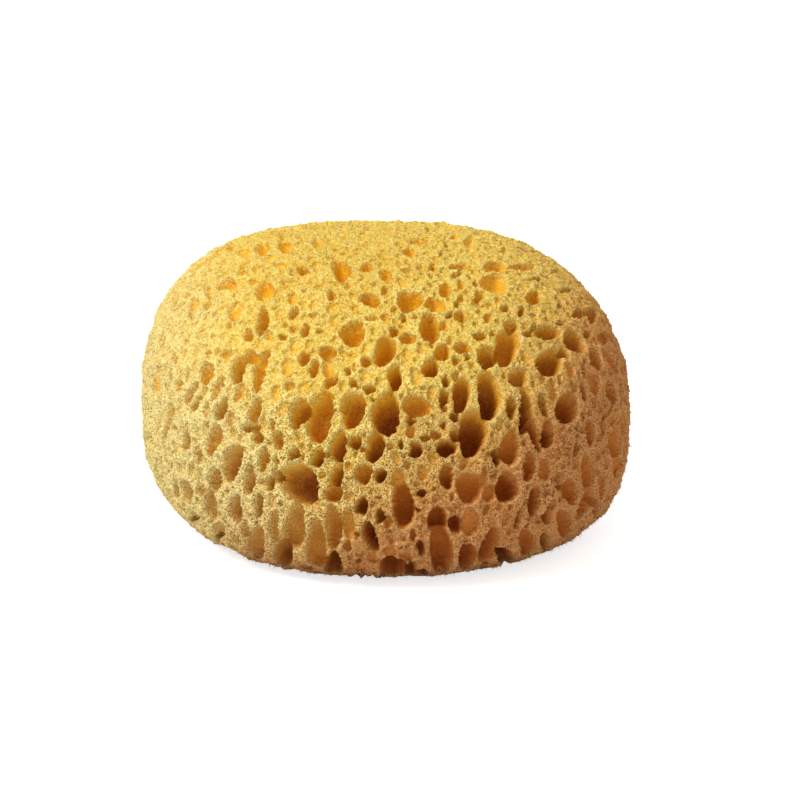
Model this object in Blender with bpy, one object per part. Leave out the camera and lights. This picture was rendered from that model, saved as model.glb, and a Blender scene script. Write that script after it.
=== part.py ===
"""A natural sea sponge, cut flat where it grew on its rock.

One grown body: a broad dome, its widest level a third of the way up, drawn in again towards the cut.
Its open pits are hollows in the one skin. Metres, +Z up; the origin is the middle of the box's underside.
Run it with blender --background --python part.py, or from the Text Editor.
"""

from math import cos, pi, radians, sin

import bmesh
import bpy
import numpy as np
from mathutils import Vector, geometry

# Driving dimensions of the whole body.
WIDTH = 0.140
DEPTH = 0.130
HEIGHT = 0.083
WIDEST_LEVEL = 0.0332  # the height of the widest level above the flat cut
FULL_UNDERSIDE = 0.0416  # how far the underside would reach below the widest level if it weren't cut
PLAN_SQUARENESS = 2.15  # 2 is an ellipse, larger is squarer
SIDE_SQUARENESS = 2.65

# Broad swells and dents of the dome: azimuth and elevation in degrees, spread in degrees, height in metres.
SWELLS = (
    (162, 40, 24, 0.0026),
    (-12, -30, 22, 0.0022),
    (10, 26, 20, -0.0016),
    (-163, -39, 20, -0.0012),
    (84, 70, 20, -0.0010),
    (115, -8, 30, 0.0014),
    (60, 12, 24, -0.0012),
    (-95, 12, 26, 0.0010),
)

# Where each pit was seen: a front view from 20 degrees above the table, 0.9 m away, in which one pixel
# is PIXEL wide at the middle of the body and VIEW_MIDDLE is the pixel straight ahead.
VIEW_RISE = radians(20)
VIEW_DISTANCE = 0.9
PIXEL = 0.000289
VIEW_MIDDLE = (400, 400)
AIM_RIGHT = 0.0041  # the point straight ahead, right of and above the heart in the view
AIM_UP = 0.0021

# Depth of a pit of each kind, and the most it may be beside the mean width of its mouth.
SHALLOW_DEPTH = 0.0018
MIDDLE_DEPTH = 0.0040
DEEP_DEPTH = 0.0070
DEEPEST_DEPTH = 0.0100
DEEPEST_TO_WIDTH = 1.35

# The pits on the side that was seen, by kind. Each is the pixel of its middle, its width and height in
# pixels, and how far its top leans right, in degrees.
SHALLOW_PITS = (
    (281, 235, 6, 8, -20), (343, 237, 10, 4, 15), (429, 229, 7, 5, 0), (228, 247, 8, 5, 0),
    (243, 252, 14, 8, 0), (318, 242, 10, 10, 0), (386, 258, 12, 6, 0), (441, 253, 4, 5, 0),
    (446, 245, 6, 4, 0), (470, 243, 12, 10, 0), (503, 251, 6, 4, 0), (242, 272, 10, 6, 0),
    (280, 265, 13, 7, 15), (294, 273, 8, 6, 0), (408, 271, 14, 5, 0), (431, 275, 5, 5, 0),
    (536, 279, 12, 4, 0), (556, 271, 11, 4, -30), (187, 295, 7, 6, 0), (208, 292, 6, 12, 0),
    (253, 281, 11, 5, 0), (284, 281, 5, 7, 30), (292, 298, 8, 12, 15), (461, 298, 8, 8, 0),
    (462, 284, 7, 8, 0), (476, 283, 6, 6, 0), (566, 290, 10, 4, 0), (174, 304, 5, 8, 30),
    (190, 314, 4, 10, 0), (193, 304, 9, 12, 30), (207, 305, 8, 10, 20), (235, 310, 12, 18, 35),
    (313, 315, 8, 6, 0), (372, 318, 12, 6, 10), (385, 317, 8, 8, 0), (394, 309, 7, 6, 0),
    (415, 317, 5, 4, 0), (476, 302, 9, 7, 0), (488, 318, 8, 10, -35), (559, 306, 5, 6, 0),
    (228, 325, 6, 8, 30), (268, 335, 8, 8, 0), (284, 325, 6, 5, 35), (293, 329, 7, 7, 0),
    (320, 331, 9, 4, 0), (444, 326, 8, 8, 0), (493, 334, 6, 5, 0), (534, 327, 6, 6, 0),
    (561, 323, 10, 4, 0), (588, 334, 7, 8, 0), (604, 337, 12, 12, -30), (174, 357, 5, 12, -15),
    (208, 353, 5, 8, 0), (225, 354, 10, 8, 0), (432, 344, 6, 8, 0), (468, 357, 7, 6, 0),
    (156, 378, 7, 30, 8), (170, 372, 4, 14, 0), (187, 374, 4, 14, 15), (328, 368, 11, 16, 0),
    (456, 360, 8, 8, 0), (456, 376, 7, 10, 0), (611, 360, 8, 26, -35), (178, 385, 6, 10, 10),
    (215, 391, 7, 18, 20), (239, 392, 8, 18, 25), (289, 386, 9, 9, 0), (594, 383, 10, 22, -20),
    (170, 412, 6, 18, 5), (230, 418, 8, 14, 10), (444, 408, 7, 6, 0), (606, 415, 4, 8, 0),
    (166, 430, 6, 24, 12), (174, 427, 4, 6, 0), (187, 426, 3, 8, 0), (206, 425, 4, 6, 0),
    (272, 425, 6, 10, 0), (411, 430, 9, 14, 0), (425, 438, 10, 6, 0), (436, 435, 9, 8, 0),
    (444, 425, 5, 8, 0), (604, 428, 6, 18, 0), (614, 422, 8, 10, 0), (624, 424, 6, 34, -5),
    (276, 461, 4, 10, 0), (398, 479, 12, 18, 15), (484, 478, 6, 20, 0), (545, 471, 10, 22, 0),
    (618, 466, 10, 26, 0), (175, 490, 5, 20, 0), (199, 491, 7, 12, 0), (490, 494, 12, 16, 0),
    (603, 487, 8, 25, 0), (418, 511, 5, 6, 0), (553, 505, 8, 10, 0), (219, 531, 12, 14, 0),
    (245, 531, 8, 14, 0), (274, 528, 10, 28, 0), (348, 525, 12, 28, 0), (356, 536, 5, 9, 0),
    (388, 522, 7, 13, 0), (413, 536, 5, 12, 0), (471, 523, 15, 28, 0), (347, 547, 9, 9, 0),
    (358, 562, 6, 6, 0),
)
MIDDLE_PITS = (
    (456, 236, 9, 6, -30), (262, 248, 14, 12, 0), (284, 245, 12, 14, 0), (409, 251, 13, 9, 0),
    (420, 240, 24, 6, -10), (367, 267, 12, 9, 0), (386, 274, 11, 13, 0), (433, 267, 8, 7, 0),
    (457, 274, 11, 5, -30), (461, 266, 20, 7, -5), (497, 266, 26, 9, 0), (523, 267, 22, 7, 0),
    (226, 284, 17, 11, -20), (264, 290, 14, 20, 45), (331, 295, 8, 9, 0), (385, 290, 7, 9, 0),
    (446, 289, 14, 12, 0), (480, 295, 10, 8, 0), (495, 283, 22, 20, 0), (535, 297, 17, 11, 0),
    (294, 313, 8, 12, 30), (403, 318, 6, 8, 15), (436, 304, 20, 13, 25), (450, 315, 5, 9, 35),
    (457, 304, 6, 6, 0), (461, 316, 11, 12, 0), (506, 308, 9, 7, 0), (522, 311, 6, 13, 25),
    (564, 306, 4, 24, -35), (579, 313, 12, 10, -35), (592, 315, 10, 14, -35), (248, 335, 10, 11, 0),
    (283, 337, 10, 6, 35), (305, 330, 7, 13, 15), (357, 323, 14, 5, 0), (394, 331, 8, 10, 0),
    (408, 338, 14, 11, 0), (480, 336, 12, 8, 0), (512, 325, 13, 9, 0), (530, 334, 11, 6, 0),
    (250, 356, 14, 12, 25), (327, 352, 16, 12, 25), (443, 352, 13, 16, 0), (463, 347, 15, 11, 10),
    (566, 353, 6, 14, -35), (596, 358, 9, 24, -20), (206, 373, 12, 22, 12), (260, 369, 12, 38, 18),
    (314, 368, 8, 18, 15), (348, 371, 6, 7, 0), (366, 361, 10, 9, 0), (519, 377, 18, 16, 0),
    (584, 370, 6, 14, -20), (190, 393, 7, 22, 28), (221, 381, 5, 13, 10), (330, 382, 13, 9, -20),
    (370, 389, 11, 8, 0), (372, 399, 4, 4, 0), (444, 397, 9, 16, 0), (446, 381, 6, 12, 0),
    (584, 391, 6, 16, -15), (612, 392, 10, 22, -20), (195, 404, 6, 18, 28), (255, 410, 11, 22, 20),
    (335, 410, 5, 3, 0), (416, 406, 24, 20, 0), (455, 416, 7, 12, 0), (512, 407, 10, 20, 0),
    (544, 405, 8, 22, -20), (257, 438, 11, 10, 0), (411, 420, 8, 10, 0), (456, 435, 9, 12, 0),
    (577, 432, 3, 16, 0), (591, 432, 9, 26, 0), (185, 442, 9, 17, 0), (197, 455, 7, 16, 0),
    (213, 440, 13, 28, 20), (278, 440, 9, 18, -15), (293, 454, 10, 11, 0), (326, 455, 5, 5, 0),
    (511, 448, 18, 31, 0), (577, 449, 5, 14, 10), (617, 443, 12, 32, -5), (263, 460, 9, 24, 5),
    (276, 476, 6, 16, 0), (363, 474, 15, 20, 0), (447, 477, 12, 24, 0), (530, 466, 13, 25, 0),
    (589, 473, 12, 34, 0), (186, 491, 10, 22, -10), (214, 480, 12, 22, 0), (249, 480, 11, 26, 8),
    (269, 484, 7, 15, 0), (333, 494, 16, 17, 0), (422, 494, 8, 8, 30), (470, 488, 22, 30, 0),
    (571, 492, 14, 24, 0), (193, 519, 10, 6, 0), (210, 506, 13, 26, -8), (235, 510, 11, 28, 0),
    (258, 505, 8, 23, 0), (380, 517, 8, 14, 0), (548, 516, 8, 16, 0), (596, 508, 7, 18, 0),
    (216, 538, 9, 6, 0), (294, 530, 20, 40, 0), (333, 529, 14, 42, 0), (566, 526, 13, 28, 0),
    (255, 547, 17, 28, -12), (316, 551, 20, 38, 0), (528, 546, 14, 26, 10), (356, 576, 8, 6, 0),
    (369, 577, 10, 5, 0), (411, 572, 12, 12, 0),
)
DEEP_PITS = (
    (303, 270, 12, 8, 20), (341, 269, 18, 18, 0), (370, 299, 17, 13, 20), (410, 300, 22, 20, 0),
    (262, 320, 11, 24, 10), (352, 334, 24, 18, 0), (430, 327, 19, 24, -10), (548, 332, 20, 14, 0),
    (304, 358, 10, 14, 20), (385, 350, 20, 26, 20), (489, 356, 22, 18, 0), (508, 345, 22, 32, 20),
    (575, 340, 14, 26, -35), (238, 368, 14, 24, 20), (336, 376, 3, 4, 0), (431, 367, 15, 17, 10),
    (551, 362, 24, 24, 0), (462, 393, 16, 32, 12), (221, 409, 10, 20, 22), (298, 413, 14, 30, 18),
    (319, 416, 24, 44, 12), (353, 410, 18, 34, 10), (568, 408, 21, 28, 0), (246, 428, 6, 10, 10),
    (254, 427, 9, 12, 0), (302, 458, 4, 5, 0), (317, 458, 12, 17, 20), (338, 447, 13, 30, 8),
    (355, 442, 11, 14, 0), (362, 449, 4, 5, 0), (375, 447, 16, 28, 8), (231, 463, 16, 36, 10),
    (336, 477, 12, 20, 12), (508, 488, 19, 30, 0), (559, 482, 5, 17, 0), (361, 507, 11, 18, 15),
    (403, 506, 20, 42, 0), (519, 519, 5, 18, 12), (535, 502, 12, 26, 10), (586, 506, 9, 34, 25),
    (438, 521, 17, 26, 10), (456, 525, 11, 18, 0), (282, 557, 16, 26, -12), (417, 545, 4, 8, 0),
    (421, 549, 6, 14, 0), (442, 555, 22, 42, 0), (490, 549, 16, 32, 22), (545, 543, 8, 15, 0),
    (423, 574, 10, 7, 0), (468, 560, 16, 24, 10),
)
DEEPEST_PITS = (
    (395, 377, 11, 24, 0), (353, 383, 7, 9, 0), (359, 387, 4, 4, 0), (391, 391, 4, 8, 0),
    (490, 394, 21, 42, 0), (344, 402, 6, 16, 12), (386, 414, 26, 34, 10), (527, 410, 13, 42, 0),
    (474, 433, 26, 40, 15), (536, 433, 10, 30, -10), (549, 434, 11, 28, 5), (401, 445, 4, 10, 0),
    (416, 450, 13, 14, 0), (447, 448, 18, 16, 0), (497, 458, 8, 15, 0), (380, 476, 11, 13, 0),
    (299, 484, 30, 40, -20), (370, 538, 13, 27, -20), (506, 559, 16, 14, 0), (333, 567, 16, 20, 0),
    (393, 570, 28, 15, 0),
)

# Only pits with at least this mouth area, in square pixels, are cut; a shallow one has to be larger.
LEAST_AREA = 78
LEAST_SHALLOW_AREA = 150

# The unseen back, sides and lower skin carry pits of the same sizes, placed by a seeded draw.
SEED = 41
BACK_TRIES = 6000
BACK_PITS = 150
BACK_WALL = 0.0016  # the least skin left between two of them

SKIN_SPACING = 0.0056  # between the plain points of the skin
LEAST_SPACING = 0.0006
LOWEST_ELEVATION = radians(-58)

HEART = np.array([0.0, 0.0, WIDEST_LEVEL])


def directions(azimuth, elevation):
    """Unit vectors for azimuths and elevations in radians."""
    azimuth, elevation = np.broadcast_arrays(azimuth, elevation)
    flat = np.cos(elevation)
    return np.stack([flat * np.cos(azimuth), flat * np.sin(azimuth), np.sin(elevation)], axis=-1)


def skin_radius(unit):
    """Distance from the heart to the smooth skin along each unit vector."""
    across = np.abs(unit[..., 0] / (WIDTH / 2)) ** PLAN_SQUARENESS
    across = across + np.abs(unit[..., 1] / (DEPTH / 2)) ** PLAN_SQUARENESS
    reach = np.where(unit[..., 2] > 0, HEIGHT - WIDEST_LEVEL, FULL_UNDERSIDE)
    upright = np.abs(unit[..., 2] / reach) ** SIDE_SQUARENESS
    radius = (across ** (SIDE_SQUARENESS / PLAN_SQUARENESS) + upright) ** (-1 / SIDE_SQUARENESS)
    for azimuth, elevation, spread, height in SWELLS:
        middle = directions(radians(azimuth), radians(elevation))
        away = (1 - unit @ middle) / (1 - cos(radians(spread)))
        radius = radius + height * np.exp(-away)
    return radius


def skin_point(unit):
    return HEART + unit * skin_radius(unit)[..., None]


def skin_normal(unit):
    """Outward normal of the smooth skin, from two small steps along it."""
    side = np.cross([0.0, 0.0, 1.0], unit)
    side = side / np.maximum(np.linalg.norm(side, axis=-1, keepdims=True), 1e-9)
    rise = np.cross(unit, side)
    step = 1e-3
    here = skin_point(unit)
    moves = []
    for way in (side, rise):
        moved = unit + step * way
        moved = moved / np.linalg.norm(moved, axis=-1, keepdims=True)
        moves.append(skin_point(moved) - here)
    normal = np.cross(moves[0], moves[1])
    return normal / np.linalg.norm(normal, axis=-1, keepdims=True)


# The pits seen from the front, laid on the skin.
VIEW_RIGHT = np.array([1.0, 0.0, 0.0])
VIEW_UP = np.array([0.0, sin(VIEW_RISE), cos(VIEW_RISE)])
VIEW_BACK = np.array([0.0, -cos(VIEW_RISE), sin(VIEW_RISE)])
EYE = HEART + AIM_RIGHT * VIEW_RIGHT + AIM_UP * VIEW_UP + VIEW_DISTANCE * VIEW_BACK


def seen_on_skin(pixels):
    """The unit vector from the heart to the first skin point behind each pixel, and whether there is one."""
    across = (pixels[:, 0] - VIEW_MIDDLE[0]) * PIXEL / VIEW_DISTANCE
    down = (pixels[:, 1] - VIEW_MIDDLE[1]) * PIXEL / VIEW_DISTANCE
    rays = across[:, None] * VIEW_RIGHT - down[:, None] * VIEW_UP - VIEW_BACK
    along = np.linspace(VIEW_DISTANCE - 0.1, VIEW_DISTANCE + 0.05, 1200)
    points = EYE + along[None, :, None] * rays[:, None, :] - HEART
    length = np.linalg.norm(points, axis=-1)
    inside = length < skin_radius(points / length[..., None])
    first = np.argmax(inside, axis=1)
    hit = points[np.arange(len(pixels)), first]
    return hit / np.linalg.norm(hit, axis=1, keepdims=True), inside.any(axis=1)


def front_pits():
    """Middle, half-length and half-width vectors and depth of each pit that was seen and is large enough."""
    found = []
    for rows, depth, least in (
        (SHALLOW_PITS, SHALLOW_DEPTH, LEAST_SHALLOW_AREA),
        (MIDDLE_PITS, MIDDLE_DEPTH, LEAST_AREA),
        (DEEP_PITS, DEEP_DEPTH, LEAST_AREA),
        (DEEPEST_PITS, DEEPEST_DEPTH, LEAST_AREA),
    ):
        rows = np.array([row for row in rows if row[2] * row[3] >= least], float)
        unit, seen = seen_on_skin(rows[:, :2])
        rows, unit = rows[seen], unit[seen]
        middle = skin_point(unit)
        normal = skin_normal(unit)
        to_eye = EYE - middle
        to_eye = to_eye / np.linalg.norm(to_eye, axis=1, keepdims=True)
        facing = np.maximum((normal * to_eye).sum(axis=1, keepdims=True), 0.4)
        lean = np.radians(rows[:, 4:5])
        halves = []
        for size, way in (
            (rows[:, 3:4], np.sin(lean) * VIEW_RIGHT + np.cos(lean) * VIEW_UP),
            (rows[:, 2:3], np.cos(lean) * VIEW_RIGHT - np.sin(lean) * VIEW_UP),
        ):
            flat = way * size / 2 * PIXEL
            slide = (flat * normal).sum(axis=1, keepdims=True) / facing
            halves.append(flat - slide * to_eye)
        width = 2 * np.sqrt(np.linalg.norm(halves[0], axis=1) * np.linalg.norm(halves[1], axis=1))
        depths = np.minimum(depth, DEEPEST_TO_WIDTH * width)
        found.append(np.concatenate([middle, *halves, depths[:, None]], axis=1))
    return np.concatenate(found)


def back_pits(taken):
    """Pits of the unseen skin: each try is kept where it leaves BACK_WALL of skin to every other pit."""
    draw = np.random.default_rng(SEED)
    rows = list(taken)
    made = []
    for _ in range(BACK_TRIES):
        azimuth = draw.uniform(-pi, pi)
        elevation = np.arcsin(draw.uniform(-0.5, 1.0))
        stretch = 1.0 + 1.3 * cos(elevation) ** 2 * draw.uniform(0.3, 1.0)
        half_width = 0.0014 + 0.0028 * draw.random() ** 1.6
        depth = draw.choice([SHALLOW_DEPTH, MIDDLE_DEPTH, DEEP_DEPTH, DEEPEST_DEPTH], p=[0.12, 0.38, 0.3, 0.2])
        unit = directions(azimuth, elevation)
        middle, normal = skin_point(unit), skin_normal(unit)
        if (EYE - middle) @ normal > 0.22 * np.linalg.norm(EYE - middle):
            continue
        rise = np.array([0.0, 0.0, 1.0]) - normal[2] * normal
        rise = rise / np.linalg.norm(rise)
        side = np.cross(rise, normal)
        turn = draw.normal(0.0, 0.2) if elevation < 1.0 else draw.uniform(-1.5, 1.5)
        long_half = half_width * stretch * (cos(turn) * rise + sin(turn) * side)
        wide_half = half_width * (cos(turn) * side - sin(turn) * rise)
        if any(np.linalg.norm(middle - row[:3]) < near(row, middle) + near_own(long_half, wide_half, row[:3] - middle)
               + BACK_WALL for row in rows):
            continue
        depth = min(depth, DEEPEST_TO_WIDTH * 2 * half_width * stretch**0.5)
        row = np.array([*middle, *long_half, *wide_half, depth])
        rows.append(row)
        made.append(row)
        if len(made) == BACK_PITS:
            break
    return np.array(made)


def near_own(long_half, wide_half, way):
    """How far an ellipse with these half-axes reaches towards way."""
    way = way / max(np.linalg.norm(way), 1e-9)
    return np.hypot(long_half @ way, wide_half @ way)


def near(row, point):
    return near_own(row[3:6], row[6:9], point - row[:3])


def mouth_ratio(points, pit):
    """Where each point lies in a pit's mouth: 0 at its middle, 1 on its rim."""
    middle, long_half, wide_half = pit[:3], pit[3:6], pit[6:9]
    normal = np.cross(wide_half, long_half)
    to_long = np.cross(wide_half, normal)
    to_wide = np.cross(normal, long_half)
    offset = points - middle
    ratio = np.hypot(offset @ to_long / (long_half @ to_long), offset @ to_wide / (wide_half @ to_wide))
    reach = 1.6 * max(np.linalg.norm(long_half), np.linalg.norm(wide_half))
    return np.where(np.linalg.norm(offset, axis=1) < reach, ratio, 9.0)


def pit_depth(points, pits):
    """Depth of the skin under each point: steep at each rim, rounded at the floor."""
    depth = np.zeros(len(points))
    for pit in pits:
        ratio = np.minimum(mouth_ratio(points, pit) / 0.985, 1.0)
        depth = np.maximum(depth, pit[9] * np.sqrt(1 - ratio**4))
    return depth


def to_sheet(unit):
    """Stereographic sheet seen from the crown, on which nearest neighbours stay nearest neighbours."""
    return unit[:, :2] / (1 + unit[:, 2:3])


def from_sheet(flat):
    square = (flat**2).sum(axis=1, keepdims=True)
    return np.concatenate([2 * flat, 1 - square], axis=1) / (1 + square)


def outward(points):
    offset = points - HEART
    return offset / np.linalg.norm(offset, axis=1, keepdims=True)


def rings(pit):
    """Directions of a pit's rim, of the ring where its wall meets the floor, and of its middle."""
    mean_half = np.sqrt(np.linalg.norm(pit[3:6]) * np.linalg.norm(pit[6:9]))
    sides = 8 if mean_half > 0.0021 else 6
    turn = (np.arange(sides) + 0.5) * 2 * pi / sides
    round_it = np.cos(turn)[:, None] * pit[3:6] + np.sin(turn)[:, None] * pit[6:9]
    rim = outward(pit[:3] + round_it)
    floor = outward(pit[:3] + 0.78 * round_it)
    middle = outward(pit[None, :3])
    if mean_half < 0.0015:
        return rim, middle
    return rim, np.concatenate([floor, middle]) if mean_half > 0.0021 else floor


def sponge_mesh(pits):
    """One sheet of triangles over the pitted skin, with every pit's rim as edges, cut flat at the base."""
    ring_points, ring_edges, loose = [], [], []
    for pit in pits:
        rim, floor = rings(pit)
        first = sum(len(ring) for ring in ring_points)
        ring_points.append(rim)
        ring_edges += [(first + i, first + (i + 1) % len(rim)) for i in range(len(rim))]
        loose.append(floor)
    count = int(4 * pi * 0.062**2 / SKIN_SPACING**2)
    order = np.arange(count) + 0.5
    spread = directions(pi * (1 + 5**0.5) * order, np.arcsin(1 - 2 * order / count))
    spread = spread[spread[:, 2] > sin(LOWEST_ELEVATION)]
    clear = pit_depth(skin_point(spread), [np.concatenate([pit[:3], pit[3:9] * 1.18, pit[9:]]) for pit in pits]) == 0
    hem = directions(np.linspace(-pi, pi, 72, endpoint=False), LOWEST_ELEVATION)
    rim_points = np.concatenate(ring_points)
    others = np.concatenate([hem, *loose, spread[clear]])
    kept = list(rim_points)
    for unit in others:
        gap = np.linalg.norm(np.array(kept) - unit, axis=1).min()
        if gap > LEAST_SPACING / 0.06:
            kept.append(unit)
    flat = to_sheet(np.array(kept))
    keep = np.linalg.norm(flat, axis=1) <= np.linalg.norm(to_sheet(hem), axis=1).max() * 1.0001
    number = np.cumsum(keep) - 1
    edges = [(int(number[a]), int(number[b])) for a, b in ring_edges if keep[a] and keep[b]]
    sheet = geometry.delaunay_2d_cdt([Vector(p) for p in flat[keep].tolist()], edges, [], 0, 1e-6)
    unit = from_sheet(np.array([p[:] for p in sheet[0]]))
    points = skin_point(unit)
    points = points - pit_depth(points, pits)[:, None] * unit
    mesh = bpy.data.meshes.new("sponge")
    mesh.from_pydata(points.tolist(), [], sheet[2])
    form = bmesh.new()
    form.from_mesh(mesh)
    everything = [*form.verts, *form.edges, *form.faces]
    cut = bmesh.ops.bisect_plane(form, geom=everything, plane_co=(0, 0, 0), plane_no=(0, 0, 1), clear_inner=True)
    rim_edges = [item for item in cut["geom_cut"] if isinstance(item, bmesh.types.BMEdge)]
    bmesh.ops.triangle_fill(form, edges=rim_edges, use_beauty=True, normal=(0, 0, -1))
    bmesh.ops.recalc_face_normals(form, faces=form.faces)
    form.to_mesh(mesh)
    form.free()
    return mesh


def spongin():
    """The dry skeleton: matt straw yellow, browner than cloth, with no shine."""
    material = bpy.data.materials.new("spongin")
    material.use_nodes = True
    surface = material.node_tree.nodes["Principled BSDF"]
    surface.inputs["Base Color"].default_value = (0.61, 0.34, 0.09, 1)
    surface.inputs["Roughness"].default_value = 0.92
    surface.inputs["Metallic"].default_value = 0.0
    material.diffuse_color = (0.61, 0.34, 0.09, 1)
    return material


def main():
    for item in list(bpy.data.objects):
        bpy.data.objects.remove(item, do_unlink=True)
    collection = bpy.data.collections.new("sea_sponge")
    bpy.context.scene.collection.children.link(collection)
    seen = front_pits()
    pits = np.concatenate([seen, back_pits(seen)])
    mesh = sponge_mesh(pits)
    sponge = bpy.data.objects.new("sponge", mesh)
    collection.objects.link(sponge)
    mesh.materials.append(spongin())
    mesh.shade_smooth()
    mesh.set_sharp_from_angle(angle=radians(50))
    box = np.array([v.co[:] for v in mesh.vertices])
    print(len(seen), "pits seen,", len(pits) - len(seen), "more round the back;", len(mesh.polygons), "faces")
    print("box in mm:", (box.min(axis=0) * 1000).round(2), (box.max(axis=0) * 1000).round(2))


main()
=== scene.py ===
# %% [markdown]
# # A natural sea sponge
#
# The object is one grown body: a broad dome of dry spongin, trimmed flat where it grew on its rock. Its
# skin is open with oval pits, drawn out along the sides and round on the crown, and between them it is a
# felt of short fibres with fine dark pores. The picture is made of the pitted body, the loose fibre ends
# that stand off it, a material that holds the pores and the felt, a pale floor and soft light from the
# upper left.

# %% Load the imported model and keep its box
from math import cos, pi, radians, sin

import bpy
import numpy as np
from mathutils import Matrix, Vector


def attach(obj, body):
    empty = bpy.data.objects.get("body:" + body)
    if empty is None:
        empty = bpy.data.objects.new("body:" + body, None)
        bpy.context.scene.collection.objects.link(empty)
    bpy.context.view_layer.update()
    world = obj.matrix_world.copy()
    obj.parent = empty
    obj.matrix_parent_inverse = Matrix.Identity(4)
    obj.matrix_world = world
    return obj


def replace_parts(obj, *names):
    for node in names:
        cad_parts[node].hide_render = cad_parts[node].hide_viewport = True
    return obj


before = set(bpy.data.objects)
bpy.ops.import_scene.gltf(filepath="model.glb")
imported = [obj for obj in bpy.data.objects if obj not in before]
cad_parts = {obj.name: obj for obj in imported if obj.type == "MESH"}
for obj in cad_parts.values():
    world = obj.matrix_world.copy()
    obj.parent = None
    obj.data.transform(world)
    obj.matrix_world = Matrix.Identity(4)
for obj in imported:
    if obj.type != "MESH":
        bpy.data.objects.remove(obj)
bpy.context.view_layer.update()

# %% [markdown]
# ## The body's form
#
# The whole body is one rounded form: in plan nearly an ellipse, from the side a squarer one, with a few
# broad swells and dents so that no two sides match. It could be sculpted by hand, but a formula is easier
# to keep in step with the solid model. The skin is given as a distance from the heart of the body, in every
# direction.

# %% Driving dimensions, in metres
WIDTH = 0.140
DEPTH = 0.130
HEIGHT = 0.083
WIDEST_LEVEL = 0.0332
FULL_UNDERSIDE = 0.0416
PLAN_SQUARENESS = 2.15
SIDE_SQUARENESS = 2.65
HEART = np.array([0.0, 0.0, WIDEST_LEVEL])
SWELLS = (  # azimuth, elevation and spread in degrees, height in metres
    (162, 40, 24, 0.0026),
    (-12, -30, 22, 0.0022),
    (10, 26, 20, -0.0016),
    (-163, -39, 20, -0.0012),
    (84, 70, 20, -0.0010),
    (115, -8, 30, 0.0014),
    (60, 12, 24, -0.0012),
    (-95, 12, 26, 0.0010),
)


# %% The smooth skin, before any pit
def directions(azimuth, elevation):
    """Unit vectors for azimuths and elevations in radians."""
    azimuth, elevation = np.broadcast_arrays(azimuth, elevation)
    flat = np.cos(elevation)
    return np.stack([flat * np.cos(azimuth), flat * np.sin(azimuth), np.sin(elevation)], axis=-1)


def skin_radius(unit):
    """Distance from the heart to the smooth skin: (across^s + up^s)^(-1/s), where across is x and y over the
    half-widths, added as powers, and up is z over the reach above or below. Each swell adds a bell on top."""
    across = np.abs(unit[..., 0] / (WIDTH / 2)) ** PLAN_SQUARENESS
    across = across + np.abs(unit[..., 1] / (DEPTH / 2)) ** PLAN_SQUARENESS
    reach = np.where(unit[..., 2] > 0, HEIGHT - WIDEST_LEVEL, FULL_UNDERSIDE)
    upright = np.abs(unit[..., 2] / reach) ** SIDE_SQUARENESS
    radius = (across ** (SIDE_SQUARENESS / PLAN_SQUARENESS) + upright) ** (-1 / SIDE_SQUARENESS)
    for azimuth, elevation, spread, height in SWELLS:
        middle = directions(radians(azimuth), radians(elevation))
        away = (1 - unit @ middle) / (1 - cos(radians(spread)))
        radius = radius + height * np.exp(-away)
    return radius


def skin_point(unit):
    """The skin's point in a direction: the heart plus the direction times the skin's distance."""
    return HEART + unit * skin_radius(unit)[..., None]


def skin_normal(unit):
    """Outward normal: the cross product of two small steps along the skin."""
    side = np.cross([0.0, 0.0, 1.0], unit)
    side = side / np.maximum(np.linalg.norm(side, axis=-1, keepdims=True), 1e-9)
    rise = np.cross(unit, side)
    step = 1e-3
    here = skin_point(unit)
    moves = []
    for way in (side, rise):
        moved = unit + step * way
        moved = moved / np.linalg.norm(moved, axis=-1, keepdims=True)
        moves.append(skin_point(moved) - here)
    normal = np.cross(moves[0], moves[1])
    return normal / np.linalg.norm(normal, axis=-1, keepdims=True)


crown = skin_point(np.array([0.0, 0.0, 1.0]))
print("crown at", round(float(crown[2]) * 1000, 1), "mm")

# %% [markdown]
# ## The view, and the pits seen in it
#
# The pits were read from a front view, 20 degrees above the table: the middle of each mouth, its
# width and height and its lean, in pixels of an 800 by 800 picture. Each one is laid on the skin by
# following its line of sight, so that the model's pits lie where the real ones do, at their real size.

# %% The view: rise, distance and the size of one pixel at the heart
VIEW_RISE = radians(20)
VIEW_DISTANCE = 0.9
PIXEL = 0.000289
VIEW_MIDDLE = (400, 400)
AIM_RIGHT = 0.0041
AIM_UP = 0.0021
VIEW_RIGHT = np.array([1.0, 0.0, 0.0])
VIEW_UP = np.array([0.0, sin(VIEW_RISE), cos(VIEW_RISE)])
VIEW_BACK = np.array([0.0, -cos(VIEW_RISE), sin(VIEW_RISE)])
AIM = HEART + AIM_RIGHT * VIEW_RIGHT + AIM_UP * VIEW_UP
EYE = AIM + VIEW_DISTANCE * VIEW_BACK
NEARER, FARTHER = 0.1, 0.05  # the skin is looked for this far before and past the aim
SIGHT_STEPS = 1200

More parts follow.
